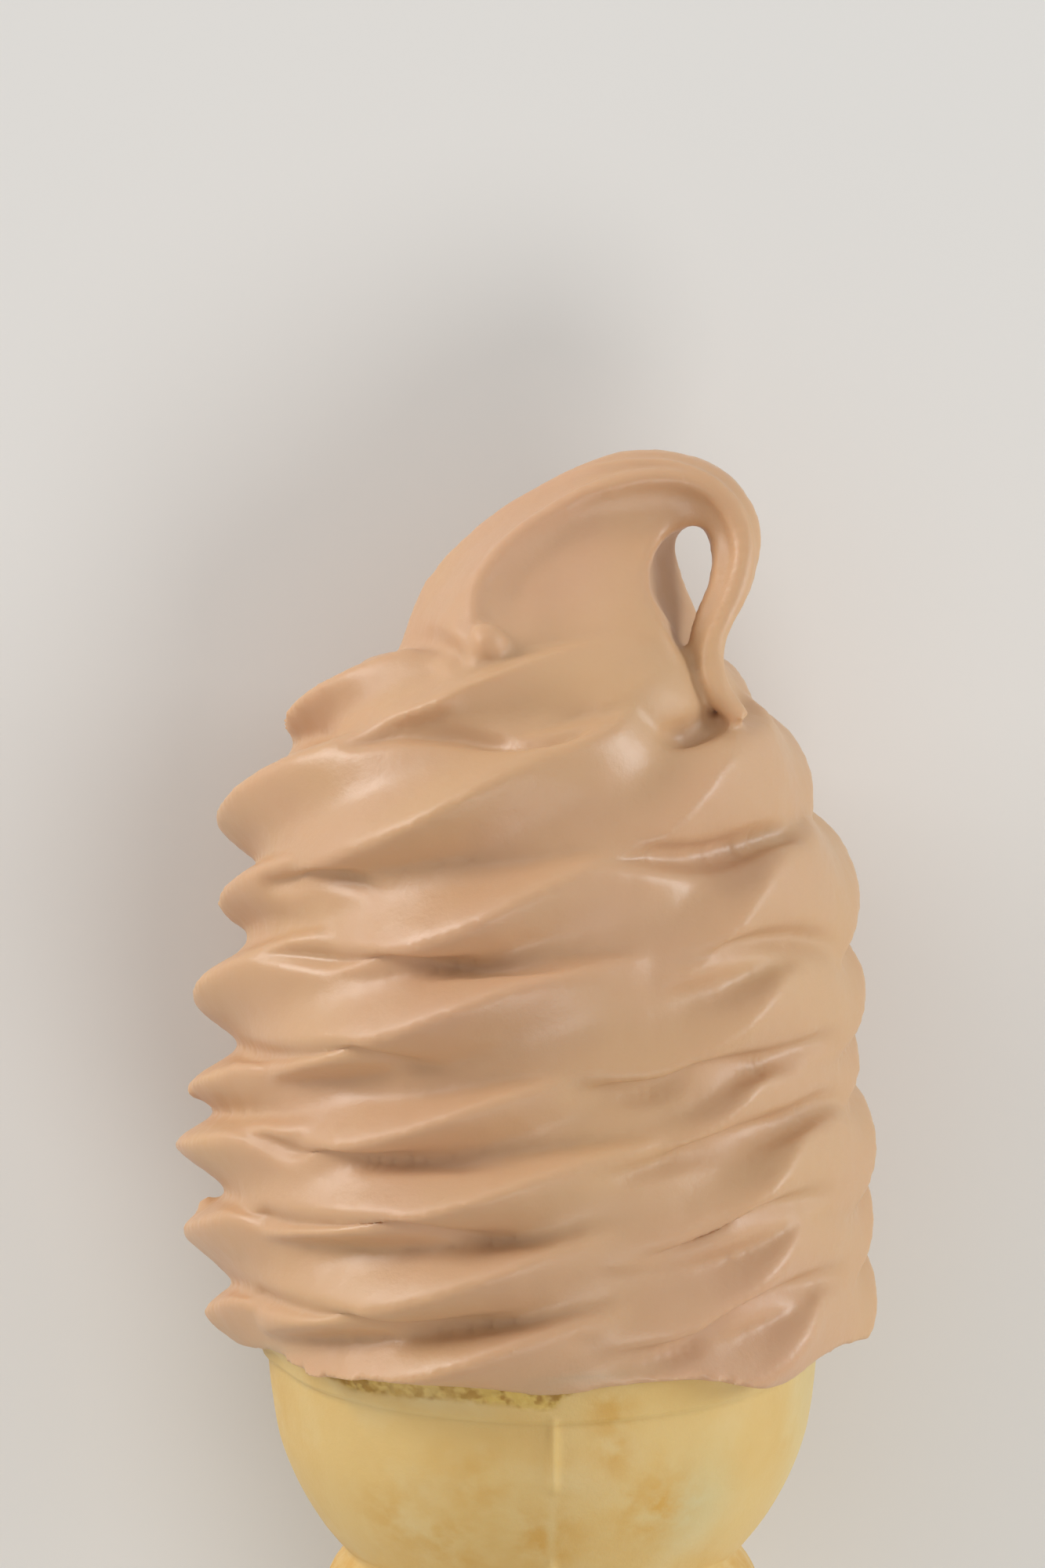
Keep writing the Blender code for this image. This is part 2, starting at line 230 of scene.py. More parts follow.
def spot_share(spots, azimuth, radius, height):
    """How much of a tone a place has from soft round spots."""
    return sum(strength * math.exp(-((math.radians(azimuth - side) * radius) ** 2
                                     + (height - level) ** 2) / size ** 2)
               for side, level, size, strength in spots)


def cup_tones(azimuth, radius, height, torn, seam):
    """How toasted, greyish and freckled a place is, as a colour's red, green and blue."""
    bead = (eased((BEAD_TOAST_TOP - height) / BEAD_TOAST_FADE)
            * eased((height - STEM_TOP[1]) / BEAD_TOAST_FADE))
    # Toast is kept off the seam, which leaves it a pale line: a painted highlight along its ridge.
    toasted = spot_share(TOASTED_SPOTS, azimuth, radius, height) * (1 - seam) + bead
    grey = spot_share(GREY_SPOTS, azimuth, radius, height)
    return min(toasted, 1.0), min(grey, 1.0), torn * between(FRECKLED, azimuth), 1


def skin_rise(place, torn, seam):
    """How far the skin stands out there, or, below 0, is sunk in."""
    rise = waves(place, SKIN_WAVES) + SEAM_RISE * seam
    if torn > 0:
        rise += torn * (waves(place, TORN_WAVES) - TORN_SINK)
    return rise


def step_lift(azimuth, place):
    """How far the wavy step and what is next to it are lifted."""
    side = min(1 - math.cos(math.radians(azimuth)), MOST_SIDE)
    lift = STEP_LIFT + SIDE_LIFT * side + waves(place, STEP_WAVES)
    above = eased((RIM_HEIGHT - RIM_BEVEL - place.z) / LIFT_FADES[0])
    below = eased((place.z - LIFT_END) / LIFT_FADES[1])
    return lift * (above * below)


def is_worked(radius, height):
    """Whether the skin is worked there: the band, the upper bowl, and all below the floor's height."""
    upper_skin = bowl_radius(max(height, STEP_HEIGHT), BOWL_RADIUS) - SKIN_DEPTH
    return height < CUP_FLOOR or radius > upper_skin


def wear_cup(bm):
    """Gives the turned cup its seam, torn skin and wavy step, and colours each place by what it is, save
    the seam's pale line, which is a painted highlight.
    """
    tones = bm.verts.layers.float_color.new("tones")
    for vert in bm.verts:
        place = vert.co.copy()
        radius = math.hypot(place.x, place.y)
        if radius < PLAIN_RADIUS:
            vert[tones] = (0, 0, 0, 1)
            continue
        azimuth = math.degrees(math.atan2(place.x, -place.y))
        worked = is_worked(radius, place.z)
        torn = torn_share(azimuth, place.z) if worked else 0.0
        seam = seam_share(azimuth, radius, place.z)
        vert[tones] = cup_tones(azimuth, radius, place.z, torn, seam)
        if worked:
            growth = 1 + skin_rise(place, torn, seam) / radius
            vert.co = (place.x * growth, place.y * growth, place.z + step_lift(azimuth, place))


def make_cup():
    bm = bmesh.new()
    add_turned(bm, cup_profile(), CUP_STEPS)
    bmesh.ops.recalc_face_normals(bm, faces=bm.faces)
    wear_cup(bm)
    for face in bm.faces:
        face.smooth = True
    cup = to_object("moulded_wafer_cup", bm)
    cup.data.transform(LAID)
    return cup


class Finish:
    """A material, and what adds nodes to it."""

    def __init__(self, name):
        self.material = bpy.data.materials.new(name)
        self.material.use_nodes = True
        self.nodes = self.material.node_tree.nodes
        self.links = self.material.node_tree.links
        self.shader = self.nodes["Principled BSDF"]

    def add(self, kind, settings=(), **wires):
        """A node with its settings, and with the outputs that feed it."""
        node = self.nodes.new(kind)
        for key, value in dict(settings).items():
            if hasattr(node, key):
                setattr(node, key, value)
            else:
                node.inputs[key].default_value = value
        for key, source in wires.items():
            self.links.new(source, node.inputs[key])
        return node

    def wire(self, name, source):
        self.links.new(source, self.shader.inputs[name])

    def set_values(self, values):
        for name, value in values.items():
            self.shader.inputs[name].default_value = value

    @functools.cached_property
    def place(self):
        return self.add("ShaderNodeTexCoord").outputs["Object"]

    def cloud(self, scale, detail, roughness=0.5):
        settings = {"Scale": scale, "Detail": detail, "Roughness": roughness}
        return self.add("ShaderNodeTexNoise", settings, Vector=self.place).outputs["Fac"]

    def ramp(self, source, low, high, bottom=0.0, top=1.0):
        """Turns a value into a share: bottom where it is low, top where it is high."""
        settings = {"From Min": low, "From Max": high, "To Min": bottom, "To Max": top}
        return self.add("ShaderNodeMapRange", settings, Value=source).outputs["Result"]

    def product(self, first, second):
        node = self.add("ShaderNodeMath", {"operation": "MULTIPLY"})
        self.links.new(first, node.inputs[0])
        self.links.new(second, node.inputs[1])
        return node.outputs[0]

    def blend(self, share, below, above):
        """Mixes two colours, each a colour's numbers or the output of a node."""
        node = self.add("ShaderNodeMix", {"data_type": "RGBA"})
        self.links.new(share, node.inputs[0])
        for socket, colour in zip(node.inputs[6:8], (below, above)):
            if isinstance(colour, tuple):
                socket.default_value = (*colour, 1)
            else:
                self.links.new(colour, socket)
        return node.outputs[2]

    def relief(self, texture, strength, depth):
        """Fine relief on the surface; its depth is in metres."""
        bump = self.add("ShaderNodeBump", {"Strength": strength, "Distance": depth}, Height=texture)
        self.wire("Normal", bump.outputs["Normal"])


WAFER_COLOUR = (0.685, 0.475, 0.178)
WAFER_PALE = (0.700, 0.560, 0.290)
WAFER_TOAST = (0.62, 0.355, 0.075)
WAFER_GREY = (0.575, 0.505, 0.270)
WAFER_TORN = (0.66, 0.45, 0.11)
WAFER_FRECKLE = (0.38, 0.19, 0.02)


def wafer_finish():
    """Pale baked batter: floury, blotched and toasted in patches, freckled where it is torn."""
    wafer = Finish("baked_wafer")
    tones = wafer.add("ShaderNodeAttribute", {"attribute_name": "tones"}).outputs["Color"]
    tone = wafer.add("ShaderNodeSeparateColor", Color=tones).outputs
    toasted, grey, torn = tone["Red"], tone["Green"], tone["Blue"]
    blotches = wafer.ramp(wafer.cloud(90.0, 4.0), 0.47, 0.72, top=0.4)
    base = wafer.blend(blotches, WAFER_COLOUR, WAFER_TOAST)
    floury = wafer.ramp(wafer.cloud(130.0, 5.0), 0.5, 0.75, top=0.5)
    base = wafer.blend(floury, base, WAFER_PALE)
    base = wafer.blend(grey, base, WAFER_GREY)
    patches = wafer.product(wafer.ramp(wafer.cloud(420.0, 3.0), 0.36, 0.62), toasted)
    base = wafer.blend(patches, base, WAFER_TOAST)
    base = wafer.blend(torn, base, WAFER_TORN)
    freckles = wafer.product(wafer.ramp(wafer.cloud(800.0, 1.5), 0.47, 0.60, top=0.9), torn)
    base = wafer.blend(freckles, base, WAFER_FRECKLE)
    wafer.wire("Base Color", base)
    wafer.relief(wafer.cloud(1500.0, 4.0, 0.65), strength=0.25, depth=0.00025)
    wafer.set_values({
        "Roughness": 0.55,
        "Subsurface Weight": 0.15,
        "Subsurface Radius": (1.0, 0.6, 0.25),
        "Subsurface Scale": 0.002,
    })
    return wafer.material


cup = make_cup()
cup.data.materials.append(wafer_finish())
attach(cup, "root")
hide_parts("wafer_cup")


# Swirl: soft serve ice cream, piped through a six-pointed star nozzle in turns that narrow to a
# peak. The machine's handle was closed while the cone moved on, so the peak's tip curls over and
# its end has stuck to the last turn.
QUARTER_TURN = 0.25
COIL_START = -0.35
COIL_END = 7.55
COIL_STATIONS = 700
COIL_SIDES = 72

# Each turn's height and reach where it crosses the left and the right, and how much higher it runs
# at the front, from the lowest turn up.
LEFT_HEIGHT = [1.2, 9.2, 17.6, 23.3, 31.9, 41.0, 48.3, 57.8]
RIGHT_HEIGHT = [2.7, 10.7, 18.0, 26.2, 32.4, 41.1, 51.3, 60.0]
LEFT_REACH = [32.6, 34.7, 35.3, 34.0, 33.7, 31.1, 31.4, 24.9]
RIGHT_REACH = [32.5, 32.1, 32.3, 30.6, 31.2, 30.5, 26.0, 20.0]
FRONT_LIFT = [0.65, -0.5, -1.15, -0.85, 0.85, 0.55, 1.45, 1.5]

# The rope's section is the nozzle's star, squashed between its neighbours so that its outer faces
# spread to FACE_ANGLE. Its crests are given by where its ridges cross the rope's middle, as azimuths
# in degrees from the front. The furrows between the ridges are shallower at the right.
FACE_ANGLE = math.radians(71)
RIDGE_SOFTNESS = 0.10
ROPE_DEPTH = 14.0
DEPTH_SWING = 1.5
BAND_FILL = 0.63
LAST_TURN_SHRINK = 0.35
SHRINK_START = 1.6
SHRINK_LENGTH = 0.6
RIDGES = 6
FURROWS = [0.24, 0.24, 0.09, 0.15, 0.24, 0.24]
TOOTH_CREST = [-90, -90, -90, -90, -90, -90, -97, -97]
LEFT_CREST = [-14, -14, -15, -22, -23, -14, -25, -36]
RIGHT_CREST = [48, 41, 39, 34, 36, 36, 28, 27]
SIDE_CREST = 82
BACK_CRESTS = [143, 205]
CREST_EASE = 0.3
EASE_SWING = 0.55

# The lowest turn's edge droops unevenly over the rim: its height each 15 degrees across the shown
# side, and behind.
EDGE_DROOP = [-1.5, -0.2, 0.7, 0.0, 0.6, 0.5, -0.5, 0.5, 0.5, -1.2, 0.9, 0.6, -0.9]
EDGE_BEHIND = -0.6
LEDGE_SOFTNESS = 0.5


def along_knots(values, position):
    """Smooth curve through evenly spaced values; position 0 is the first value."""
    last = len(values) - 1
    index = min(max(int(math.floor(position)), 0), last - 1)
    share = position - index
    before = values[index - 1] if index > 0 else 2 * values[0] - values[1]
    start = values[index]
    end = values[index + 1]
    after = values[index + 2] if index + 2 <= last else 2 * values[last] - values[last - 1]
    if not 0 <= share <= 1:
        return start + share * (end - start)
    bend = 3 * (start - end) + after - before
    curve = 2 * before - 5 * start + 4 * end - after + share * bend
    return start + 0.5 * share * (end - before + share * curve)


def half_turn_knots(left, right):
    """One list that alternates left and right, from the lowest turn up."""
    return [value for pair in zip(left, right) for value in pair]


TURNS = len(LEFT_HEIGHT)
HEIGHT = half_turn_knots(LEFT_HEIGHT, RIGHT_HEIGHT)
REACH = half_turn_knots(LEFT_REACH, RIGHT_REACH)


def coil_height(turn):
    return along_knots(HEIGHT, 2 * turn)


def crest_turns():
    """Where the star's ridges cross the middle of the rope, in turns from its start at the left."""
    azimuths = [(TOOTH_CREST[k], LEFT_CREST[k], RIGHT_CREST[k], SIDE_CREST, *BACK_CRESTS)
                for k in range(TURNS)]
    crossings = [k + QUARTER_TURN + azimuth / 360 for k in range(TURNS) for azimuth in azimuths[k]]
    first = crossings[:RIDGES]
    return [turn - 1 for turn in first] + crossings + [turn + TURNS for turn in first]


CREST_TURNS = crest_turns()


def ridges_passed(turn):
    """How many ridges, and what share of the next one, have come round to the rope's middle."""
    last = bisect.bisect_right(CREST_TURNS, turn) - 1
    before, start, end, after = CREST_TURNS[last - 1:last + 3]
    span = end - start
    share = (turn - start) / span
    leave, arrive = 2 * span / (end - before), 2 * span / (after - start)
    bend = share * (1 - share) ** 2 * leave - share ** 2 * (1 - share) * arrive
    return last + bend + share ** 2 * (3 - 2 * share)


def star(angle):
    """Depth of the nozzle's star below its ridges, which are crisp: 0 on a ridge, 1 between them."""
    return math.hypot(math.sin(math.pi * angle / FACE_ANGLE), RIDGE_SOFTNESS) - RIDGE_SOFTNESS


def edge_height(azimuth):
    """Height of the ice cream's lower edge, which droops unevenly over the cup's rim."""
    side = (azimuth / math.tau + 0.5) % 1 - 0.5
    if abs(side) > QUARTER_TURN:
        return EDGE_BEHIND
    return along_knots(EDGE_DROOP, (side + QUARTER_TURN) * 2 * (len(EDGE_DROOP) - 1))


@functools.cache
def rope_section(turn):
    """What is the same all round the rope at one place: where it is, how big, and where its ridge is."""
    heading = math.tau * turn - math.pi
    azimuth = heading + math.pi / 2
    lift = along_knots(FRONT_LIFT, turn - QUARTER_TURN) * max(0.0, math.cos(azimuth))
    inner_turn = min(max(turn, 1.0), TURNS - 1.5)
    half_height = BAND_FILL * (coil_height(inner_turn + 1) - coil_height(inner_turn - 1))
    shrink = min(max((turn - TURNS + SHRINK_START) / SHRINK_LENGTH, 0.0), 1.0)
    half_height *= 1 - LAST_TURN_SHRINK * shrink
    ridges = ridges_passed(turn)
    passed = ridges % 1 * math.tau
    ease = CREST_EASE + EASE_SWING * math.sin(azimuth)
    ridge = FACE_ANGLE * (passed + ease * math.sin(passed)) / math.tau
    depth = ROPE_DEPTH - DEPTH_SWING * math.sin(azimuth)
    middle = coil_height(turn) + lift
    return heading, middle, half_height, ridge, int(ridges), depth, along_knots(REACH, 2 * turn)


def rope_point(turn, around):
    """Point of the rope's skin; turn counts from the left, around is the angle in its section."""
    heading, middle, half_height, ridge, number, depth, reach = rope_section(turn)
    furrow = FURROWS[(number - 1 - math.floor((around - ridge) / FACE_ANGLE)) % len(FURROWS)]
    size = 1 - furrow * star(around - ridge) * (0.5 + 0.5 * math.cos(around))
    radius = reach - depth + depth * size * math.cos(around)
    height = middle + half_height * size * math.sin(around)
    ledge = edge_height(heading + math.pi / 2)
    if height < ledge:
        height = ledge - LEDGE_SOFTNESS * math.tanh((ledge - height) / LEDGE_SOFTNESS)
    return Vector((radius * math.cos(heading), radius * math.sin(heading), height))


def coil_point(u, v):
    return rope_point(COIL_START + u * (COIL_END - COIL_START), (v - 0.5) * math.tau)


# Peak, as sections from its foot to the tip of the curl: outer edge x, z, inner edge x, z, depth y
# of the middle, half thickness. Each of its ridges has an angle at each section, and a softness.
PEAK = [
    (-18.0, 55.0, 18.5, 55.0, -2.0, 19.5),
    (-14.2, 64.8, 16.4, 64.8, -4.0, 17.0),
    (-10.9, 72.3, 13.6, 71.8, -2.0, 12.8),
    (-3.5, 79.1, 12.8, 75.2, -1.0, 9.0),
    (6.9, 84.3, 13.7, 76.6, -2.0, 6.0),
    (16.0, 83.3, 15.0, 76.7, -2.5, 4.4),
    (20.5, 78.0, 15.6, 75.3, -4.0, 3.4),
    (19.8, 71.9, 15.5, 72.4, -6.5, 2.9),
    (17.4, 67.6, 13.7, 67.4, -9.5, 2.5),
    (17.1, 63.7, 14.1, 62.9, -12.7, 2.1),
    (19.1, 60.2, 17.3, 59.2, -15.0, 1.4),
]
PEAK_RIDGES = [
    ([-45, -49, -39, -48, -65, -60, -58, -55, -55, -55, -55], 0.15),
    ([40, 38, 42, 38, 28, 25, 18, 12, 12, 12, 12], 0.15),
    ([100, 100, 100, 85, 70, 62, 58, 57, 57, 57, 57], 0.2),
    ([155] * 11, 0.2),
    ([205] * 11, 0.2),
    ([262, 262, 262, 262, 255, 250, 250, 250, 250, 250, 250], 0.2),
]
PEAK_FURROWS = [0.38, 0.14, 0.10, 0.10, 0.10, 0.24]
FURROW_FADE = 0.06
PEAK_STATIONS = 140
PEAK_SIDES = 96


def peak_size(place, around):
    """Size of the peak's section at an angle: its uneven ridges, 1 high, run up into the curl."""
    ridges = [(math.radians(along_knots(angles, place)), softness) for angles, softness in PEAK_RIDGES]
    first = ridges[0][0]
    around = first + (around - first) % math.tau
    ridges.append((first + math.tau, ridges[0][1]))
    for start, end, furrow in zip(ridges, ridges[1:], PEAK_FURROWS):
        if around <= end[0]:
            share = (around - start[0]) / (end[0] - start[0])
            softness = start[1] + share * (end[1] - start[1])
            wave = math.hypot(math.sin(math.pi * share), softness) - softness
            return 1 - furrow * wave * (1 - FURROW_FADE * place)
    return 1.0


def peak_point(u, v):
    """Point of the peak's skin: u runs from its foot to the curl's tip, v goes around it."""
    place = u * (len(PEAK) - 1)
    outer_x, outer_z, inner_x, inner_z, depth, thickness = [
        along_knots([section[i] for section in PEAK], place) for i in range(6)]
    outer = Vector((outer_x, depth, outer_z))
    inner = Vector((inner_x, depth, inner_z))
    around = v * math.tau
    size = peak_size(place, around)
    middle = (outer + inner) / 2
    across = (outer - inner) / 2 * size * math.sin(around)
    forward = Vector((0, -1, 0)) * thickness * size * math.cos(around)
    return middle + across + forward


def add_tube(bm, stations, sides, point_at):
    """A closed tube: a sheet rolled up by point_at(u, v), welded along its seam and capped."""
    sheet = bmesh.ops.create_grid(bm, x_segments=stations, y_segments=sides, size=0.5)["verts"]
    for vert in sheet:
        vert.co = point_at(vert.co.x + 0.5, vert.co.y + 0.5)
    bmesh.ops.remove_doubles(bm, verts=sheet, dist=0.01)
    bmesh.ops.holes_fill(bm, edges=[edge for edge in bm.edges if edge.is_boundary])


# Lumps, each as its place and size: the nub at the first ridge's lower end, the shoulder under the
# curl's end, and two drips at the left. The filling is inside the coil, from the peak to the rim.
LUMPS = [
    ((-5.0, -16.5, 66.7), (1.7, 1.8, 2.1)),
    ((5.5, -9.5, 60.5), (10.5, 11.0, 8.0)),
    ((-32.9, -2.0, 23.2), (1.3, 1.2, 0.8)),
    ((-31.8, -3.0, 12.3), (1.2, 1.2, 0.8)),
]
FILLING = [(0, 62), (9, 60), (17, 56), (24, 49.5), (27.5, 42), (29, 34), (29.3, 22), (29.3, 8)]
FILLING_OVERLAP = 0.6
FILLING_STEPS = 96


def add_lump(bm, place, size):
    ball = bmesh.ops.create_icosphere(bm, subdivisions=4, radius=1.0)["verts"]
    bmesh.ops.scale(bm, vec=size, verts=ball)
    bmesh.ops.translate(bm, vec=place, verts=ball)


def filling_profile():
    """Ice cream inside the coil and down in the cup, a little too wide: the cup is cut from it."""
    inner = BOWL_RADIUS - WALL
    over_rim = [(RIM_RADIUS - 1, RIM_HEIGHT + 1), (RIM_RADIUS - WALL + FILLING_OVERLAP, RIM_HEIGHT)]
    inside = [(bowl_radius(z, inner) + FILLING_OVERLAP, z) for z in spread(STEP_HEIGHT, CUP_FLOOR, 12)]
    bottom = CUP_FLOOR - FILLING_OVERLAP
    return FILLING + over_rim + inside + [(bowl_radius(CUP_FLOOR, inner), bottom), (0, bottom)]


def settle(obj):
    """Makes an object's mesh what its modifiers give, and drops the modifiers."""
    graph = bpy.context.evaluated_depsgraph_get()
    mesh = bpy.data.meshes.new_from_object(obj.evaluated_get(graph))
    obj.modifiers.clear()
    obj.data = mesh


# Marks on the peak and the last turn, as seen from the front: points of (across, up), how far back
# the line starts and ends, its half width, and how far it stands out (or, below 0, is pressed in).
EYE = Vector((-1.89, -474.0, 94.5))
MARKS = [
    ([(-16.8, 66.0), (-14.6, 66.8), (-12.5, 67.1), (-9.9, 66.8), (-8.2, 66.0), (-6.9, 64.6)],
     (-8, -17), 1.1, -1.1),
    ([(-4.6, 65.6), (-6.3, 69.0), (-6.3, 71.6), (-4.9, 74.1), (-2.8, 76.4), (0.2, 78.7), (4.4, 81.0),
      (9.0, 82.1), (12.9, 82.0), (15.9, 80.4), (17.6, 77.6), (18.2, 74.5), (17.2, 70.7), (15.5, 67.3),
      (15.0, 64.7), (15.7, 62.5), (16.9, 60.5)], (-18, -16), 0.8, 0.65),
    ([(0.9, 81.2), (4.2, 82.6), (8.9, 83.3), (12.4, 83.1), (15.9, 81.6), (18.4, 78.8), (19.3, 75.3),
      (18.5, 71.3), (16.7, 67.9), (16.2, 65.3), (16.8, 62.8), (17.7, 61.1)], (-6, -16), 0.55, 0.4),
    ([(-1.6, 67.0), (-3.0, 69.8), (-2.4, 72.7), (0.0, 75.2), (3.3, 77.7), (7.6, 79.6)],
     (-18, -10), 1.5, -0.5),
    ([(14.8, 78.4), (11.6, 77.2), (9.7, 75.0), (9.4, 72.6), (10.3, 69.7), (12.6, 67.4), (13.1, 65.1)],
     (-8, -14), 1.1, 0.35),
    ([(2.0, 5.2), (3.6, 4.6), (5.0, 3.8)], (-31, -31), 1.0, -0.4),
    ([(13.6, 66.6), (13.8, 64.6), (14.5, 62.3), (15.6, 60.8)], (-12, -15), 0.55, -0.4),
]

# Folds wiped smooth where the last turn melts into the peak, and beside the first ridge's lower end:
# points and depths as above, the half width, and how long the place is wiped.
WIPED = [
    ([(-6.0, 60.2), (-2.5, 61.3), (1.0, 62.6), (4.5, 64.2), (7.5, 66.0)], (-17, -17), 3.2, 22),
    ([(-14.0, 66.6), (-11.5, 66.4), (-9.0, 65.9), (-7.5, 65.4)], (-12, -16), 1.8, 5),
]
WIPE_SPACING = 0.5

# Seams where a turn rests on the one below it, in turn at the left and at the right: the azimuth
# from the front, in degrees, and the height. SEAM_SHAPES has the half width and rise of each side's.
TURN_SEAMS = [
    [(-82, 5.0), (-70, 5.3), (-54, 5.5), (-35, 5.1), (-22, 5.3), (-8, 6.1), (3, 6.0)],
    [(8, 3.2), (23, 3.0), (40, 6.0), (63, 7.2), (78, 6.9)],
    [(-82, 13.2), (-70, 13.2), (-55, 13.3), (-30, 14.2), (-8, 13.6), (5, 13.4)],
    [(11, 12.2), (23, 11.7), (35, 13.6), (56, 15.2), (78, 14.5)],
    [(-82, 20.5), (-65, 20.5), (-47, 19.9), (-20, 20.5), (2, 20.2)],
    [(6, 19.5), (16, 19.6), (35, 22.0), (50, 23.1), (63, 24.0), (78, 22.8)],
    [(-82, 27.4), (-70, 28.0), (-57, 28.7), (-41, 29.8), (-26, 29.4), (-14, 28.6)],
    [(2, 27.6), (11, 26.9), (21, 27.1), (30, 28.4), (46, 28.7), (62, 29.4), (78, 29.3)],
    [(-82, 36.5), (-60, 38.0), (-44, 38.3), (-27, 38.3), (-5, 38.3), (12, 39.1)],
    [(18, 38.4), (32, 38.8), (50, 39.7), (65, 38.8), (80, 37.2)],
    [(-84, 43.6), (-71, 43.6), (-54, 45.0), (-39, 45.4), (-30, 44.1)],
    [(9, 47.6), (18, 48.1), (33, 47.6), (55, 49.0), (72, 48.0)],
    [(-60, 57.2), (-47, 58.0), (-35, 58.9), (-21, 58.8), (-10, 58.2), (-3, 58.3), (6, 59.1), (13, 60.3)],
    [(29, 58.1), (36, 58.2), (46, 58.8), (56, 59.5)],
]
SEAM_REACH = [30, 30, 30, 30, 30, 30, 29.5, 29.5, 29, 29, 27, 26, 23, 21]
SEAM_SHAPES = [(0.85, -1.15), (1.1, -1.6)]

# Lines are followed at this share of their half width, smoothed, and faded out over this many of
# their points at both ends. They reach this many half widths to the side.
LINE_SPACING = 0.25
LINE_PASSES = 30
FADE_KNOTS = 1.6
LINE_REACH = 2.4

# Slight waves all over, and an icy grain that is stronger at the turns' edges.
ICE_WAVES = [(0.14, 0.13), (0.06, 0.5)]
GRAIN_RISE = 0.025
GRAIN_EDGE_RISE = 0.06
GRAIN_FINENESS = 1.5


def mark_path(points, depths):
    """A mark's points in space, with the depth that goes from its one end to its other."""
    last = len(points) - 1
    return [Vector((across, depths[0] + (depths[1] - depths[0]) * i / last, up))
            for i, (across, up) in enumerate(points)]


def seam_path(points, reach):
    return [Vector((reach * math.sin(math.radians(side)), -reach * math.cos(math.radians(side)), up))
            for side, up in points]


def onto_surface(surface, path, spacing):
    """A path moved onto the surface, along the line of sight from the front, and made smooth."""
    last = len(path) - 1
    steps = math.ceil(sum((end - start).length for start, end in zip(path, path[1:])) / spacing)
    places = []
    for step in range(steps + 1):
        through = Vector([along_knots([point[i] for point in path], last * step / steps)
                          for i in range(3)])
        place = surface.ray_cast(EYE, (through - EYE).normalized())[0]
        if place is not None:
            places.append(place)
    for _ in range(LINE_PASSES):
        inner = [(before + place + after) / 3
                 for before, place, after in zip(places, places[1:], places[2:])]
        places = places[:1] + inner + places[-1:]
    return places


def mark_strengths(surface, tree, path, width):
    """For each place near a path, how near it is to it: 1 on it, and less beside it."""
    strengths = {}
    places = onto_surface(surface, path, LINE_SPACING * width)
    for step, place in enumerate(places):
        share = step / (len(places) - 1)
        knots = share * (len(path) - 1)
        fade = eased(knots / FADE_KNOTS) * eased((len(path) - 1 - knots) / FADE_KNOTS)
        for _, index, distance in tree.find_range(place, LINE_REACH * width):
            strength = fade * math.exp(-(distance / width) ** 2)
            if strength > strengths.get(index, 0.0):
                strengths[index] = strength
    return strengths


def search_trees(mesh):
    """A mesh's places, and what finds the surface and the places near a point."""
    places = [vert.co.copy() for vert in mesh.vertices]
    surface = BVHTree.FromPolygons(places, [face.vertices[:] for face in mesh.polygons])
    tree = KDTree(len(places))
    for index, place in enumerate(places):
        tree.insert(place, index)
    tree.balance()
    return places, surface, tree


def wipe_folds(mesh, voxel):
    """Smooths the ice cream near some lines until the folds there are gone."""
    _, surface, tree = search_trees(mesh)
    bm = bmesh.new()
    bm.from_mesh(mesh)
    bm.verts.ensure_lookup_table()
    for points, depths, width, passes in WIPED:
        near = {index for place in onto_surface(surface, mark_path(points, depths), WIPE_SPACING)
                for _, index, _ in tree.find_range(place, width)}
        verts = [bm.verts[index] for index in sorted(near)]
        for _ in range(round(passes / voxel ** 2)):
            bmesh.ops.smooth_vert(bm, verts=verts, factor=0.5,
                                  use_axis_x=True, use_axis_y=True, use_axis_z=True)
    bm.to_mesh(mesh)
    bm.free()


def work_surface(mesh):
    """Gives the ice cream its slight waves and icy grain, and presses the marks and seams into it."""
    places, surface, tree = search_trees(mesh)
    outward = [vert.normal.copy() for vert in mesh.vertices]
    rises = []
    for place, normal in zip(places, outward):
        edge_on = 1 - min(abs(normal.y), 1.0)
        grain = (GRAIN_RISE + GRAIN_EDGE_RISE * edge_on ** 3) * noise.noise(place * GRAIN_FINENESS)
        rises.append(waves(place, ICE_WAVES) + grain)
    lines = [(mark_path(points, depths), width, rise) for points, depths, width, rise in MARKS]
    lines += [(seam_path(points, reach), *shape)
              for points, reach, shape in zip(TURN_SEAMS, SEAM_REACH, itertools.cycle(SEAM_SHAPES))]
    for path, width, rise in lines:
        for index, strength in mark_strengths(surface, tree, path, width).items():
            rises[index] += rise * strength
    for vert, place, normal, rise in zip(mesh.vertices, places, outward, rises):
        vert.co = place + normal * rise


# How fine the swirl is: it is fused from its lumps by voxels, smoothed, and thinned out at the end.
VOXEL = 0.45
FUSED_PASSES = 6
MARKED_PASSES = 2
SPACE_STEPS = 256
MOST_TRIANGLES = 190000


def soften(obj, passes):
    smooth = obj.modifiers.new("Soften", "SMOOTH")
    smooth.factor = 0.5
    smooth.iterations = passes


def cut_cup_space(swirl):
    """Keeps the ice cream a little clear of the cup's wall."""
    bm = bmesh.new()
    add_turned(bm, cup_profile(GAP), SPACE_STEPS)
    bmesh.ops.recalc_face_normals(bm, faces=bm.faces)
    cup_space = to_object("cup_space", bm)
    cut = swirl.modifiers.new("Clear of the cup", "BOOLEAN")
    cut.operation = "DIFFERENCE"
    cut.solver = "MANIFOLD"
    cut.object = cup_space
    settle(swirl)
    bpy.data.objects.remove(cup_space)


